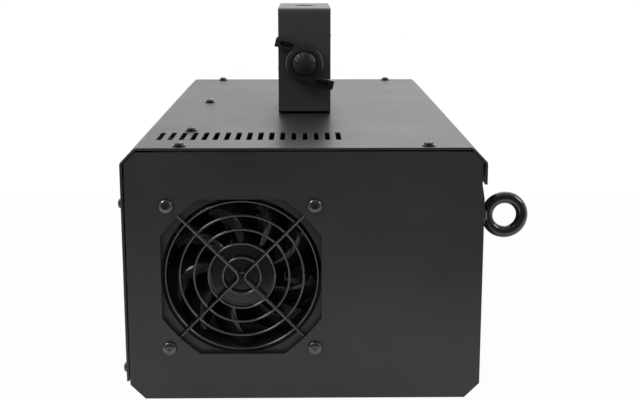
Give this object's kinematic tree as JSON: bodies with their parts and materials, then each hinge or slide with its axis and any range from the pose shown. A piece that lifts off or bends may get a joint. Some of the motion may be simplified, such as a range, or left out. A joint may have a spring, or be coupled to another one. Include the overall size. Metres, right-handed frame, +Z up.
{
  "type": "fog machine",
  "caption": "Hanging fog machine: folded black sheet-metal case with a guarded fan at one end, slotted roof, side nozzle, tilting yoke with wing knobs and a safety eye bolt.",
  "frame": {"origin": "middle of the outline on the floor plane that the rubber feet stand on", "axes": "+Z up; +Y along the case from the fan end to the hatch end; +X towards the side with the controls and the eye bolt"},
  "size_m": [0.219, 0.3288, 0.1925],
  "materials": {
    "aluminium_sheet": "mill-finish sheet",
    "black_glass_filled_plastic": "satin black moulded plastic",
    "black_gloss_enamel": "glossy black enamel",
    "black_gloss_plastic": "glossy black moulded plastic",
    "black_matt_plastic": "fine-grained matt black plastic",
    "black_powder_coat": "fine-textured semi-gloss black powder coat",
    "black_rubber": "matt black rubber",
    "blackened_steel": "blackened steel with a soft shine",
    "brass": "turned brass",
    "cast_aluminium": "cast aluminium with a fine grain",
    "circuit_board": "green solder mask",
    "clear_plastic": "clear moulded plastic",
    "copper_tube": null,
    "grey_button_plastic": "satin grey plastic",
    "mineral_wool": "pressed mineral wool",
    "natural_polyethylene": "milky translucent polyethylene",
    "smoked_window": "smoked display window",
    "zinc_plated_steel": "bright zinc plate"
  },
  "bodies": {
    "root": {"bracket_base": "black_powder_coat", "chassis": "black_powder_coat", "control_board": "circuit_board", "control_panel": "black_matt_plastic", "cover_screw_1": "blackened_steel", "cover_screw_2": "blackened_steel", "cover_screw_3": "blackened_steel", "cover_screw_4": "blackened_steel", "display_window": "smoked_window", "door_hinge": "zinc_plated_steel", "door_magnet": "black_matt_plastic", "eye_bolt": "black_gloss_enamel", "eye_bolt_nut": "zinc_plated_steel", "fan_end_panel": "black_powder_coat", "fan_frame": "black_glass_filled_plastic", "fan_guard": "blackened_steel", "fan_screw_1": "blackened_steel", "fan_screw_2": "blackened_steel", "fan_screw_3": "blackened_steel", "fan_screw_4": "blackened_steel", "far_end_panel": "black_powder_coat", "heat_shield": "aluminium_sheet", "heater_block": "cast_aluminium", "heater_cradle": "zinc_plated_steel", "heater_insulation": "mineral_wool", "level_window": "clear_plastic", "mains_inlet": "black_matt_plastic", "nozzle": "brass", "nozzle_plate": "black_powder_coat", "pressure_tube": "copper_tube", "pump_body": "brass", "pump_bracket": "zinc_plated_steel", "pump_coil": "black_matt_plastic", "pump_spring": "zinc_plated_steel", "rubber_foot_1": "black_rubber", "rubber_foot_2": "black_rubber", "rubber_foot_3": "black_rubber", "rubber_foot_4": "black_rubber", "signal_in_socket": "black_matt_plastic", "signal_out_socket": "black_matt_plastic", "suction_tube": "clear_plastic", "switch_housing": "black_matt_plastic", "tank": "natural_polyethylene", "thermostat": "zinc_plated_steel", "top_cover": "black_powder_coat"},
    "fan_rotor": {"fan_rotor": "black_gloss_plastic"},
    "yoke_clamp": {"clamp_bolt_near": "zinc_plated_steel", "clamp_bolt_far": "zinc_plated_steel"},
    "yoke": {"yoke": "black_powder_coat"},
    "knob_near": {"wing_knob_near": "black_gloss_plastic"},
    "knob_far": {"wing_knob_far": "black_gloss_plastic"},
    "rocker": {"switch_rocker": "black_gloss_plastic"},
    "tank_door": {"tank_door": "black_powder_coat"},
    "tank_cap": {"tank_cap": "black_matt_plastic"},
    "plunger": {"pump_plunger": "zinc_plated_steel"},
    "fuse_drawer": {"fuse_drawer": "black_matt_plastic"},
    "menu_button_1": {"menu_button_1": "grey_button_plastic"},
    "menu_button_2": {"menu_button_2": "grey_button_plastic"},
    "menu_button_3": {"menu_button_3": "grey_button_plastic"},
    "menu_button_4": {"menu_button_4": "grey_button_plastic"}
  },
  "joints": [
    {"name": "fan_spin", "type": "hinge", "parent": "root", "child": "fan_rotor", "pos_m": [-0.03213, -0.1587, 0.0681], "axis": [0, 1, 0], "continuous": true},
    {"name": "yoke_lift", "type": "slide", "parent": "root", "child": "yoke_clamp", "axis": [0, 0, 1], "range_m": [0, 0.0102]},
    {"name": "yoke_tilt", "type": "hinge", "parent": "yoke_clamp", "child": "yoke", "pos_m": [-0.00122, -0.0021, 0.1616], "axis": [0, 1, 0], "range_deg": [0, 90]},
    {"name": "knob_near_turn", "type": "hinge", "parent": "yoke_clamp", "child": "knob_near", "pos_m": [-0.00122, -0.0401, 0.1616], "axis": [0, 1, 0], "range_deg": [0, 360]},
    {"name": "knob_far_turn", "type": "hinge", "parent": "yoke_clamp", "child": "knob_far", "pos_m": [-0.00122, 0.0359, 0.1616], "axis": [0, -1, 0], "range_deg": [0, 360]},
    {"name": "power_rocker", "type": "hinge", "parent": "root", "child": "rocker", "pos_m": [0.08678, -0.0241, 0.032], "axis": [0, 1, 0], "range_deg": [0, 24]},
    {"name": "door_swing", "type": "hinge", "parent": "root", "child": "tank_door", "pos_m": [0.01978, 0.1566, 0.0092], "axis": [0, 0, 1], "range_deg": [0, 110]},
    {"name": "cap_turn", "type": "hinge", "parent": "root", "child": "tank_cap", "pos_m": [0.05248, 0.1239, 0.0898], "axis": [0, 0, 1], "range_deg": [0, 360]},
    {"name": "plunger_stroke", "type": "slide", "parent": "root", "child": "plunger", "axis": [0, -1, 0], "range_m": [0, 0.004], "stiffness_N_per_m": 1500, "deforming": ["pump_spring"]},
    {"name": "fuse_pull", "type": "slide", "parent": "root", "child": "fuse_drawer", "axis": [1, 0, 0], "range_m": [0, 0.012]},
    {"name": "button_1_press", "type": "slide", "parent": "root", "child": "menu_button_1", "axis": [-1, 0, 0], "range_m": [0, 0.001], "stiffness_N_per_m": 800},
    {"name": "button_2_press", "type": "slide", "parent": "root", "child": "menu_button_2", "axis": [-1, 0, 0], "range_m": [0, 0.001], "stiffness_N_per_m": 800},
    {"name": "button_3_press", "type": "slide", "parent": "root", "child": "menu_button_3", "axis": [-1, 0, 0], "range_m": [0, 0.001], "stiffness_N_per_m": 800},
    {"name": "button_4_press", "type": "slide", "parent": "root", "child": "menu_button_4", "axis": [-1, 0, 0], "range_m": [0, 0.001], "stiffness_N_per_m": 800}
  ],
  "couplings": [
    {"joint": "yoke_lift", "follows": "yoke_tilt", "m_per_rad": 0.0064}
  ]
}
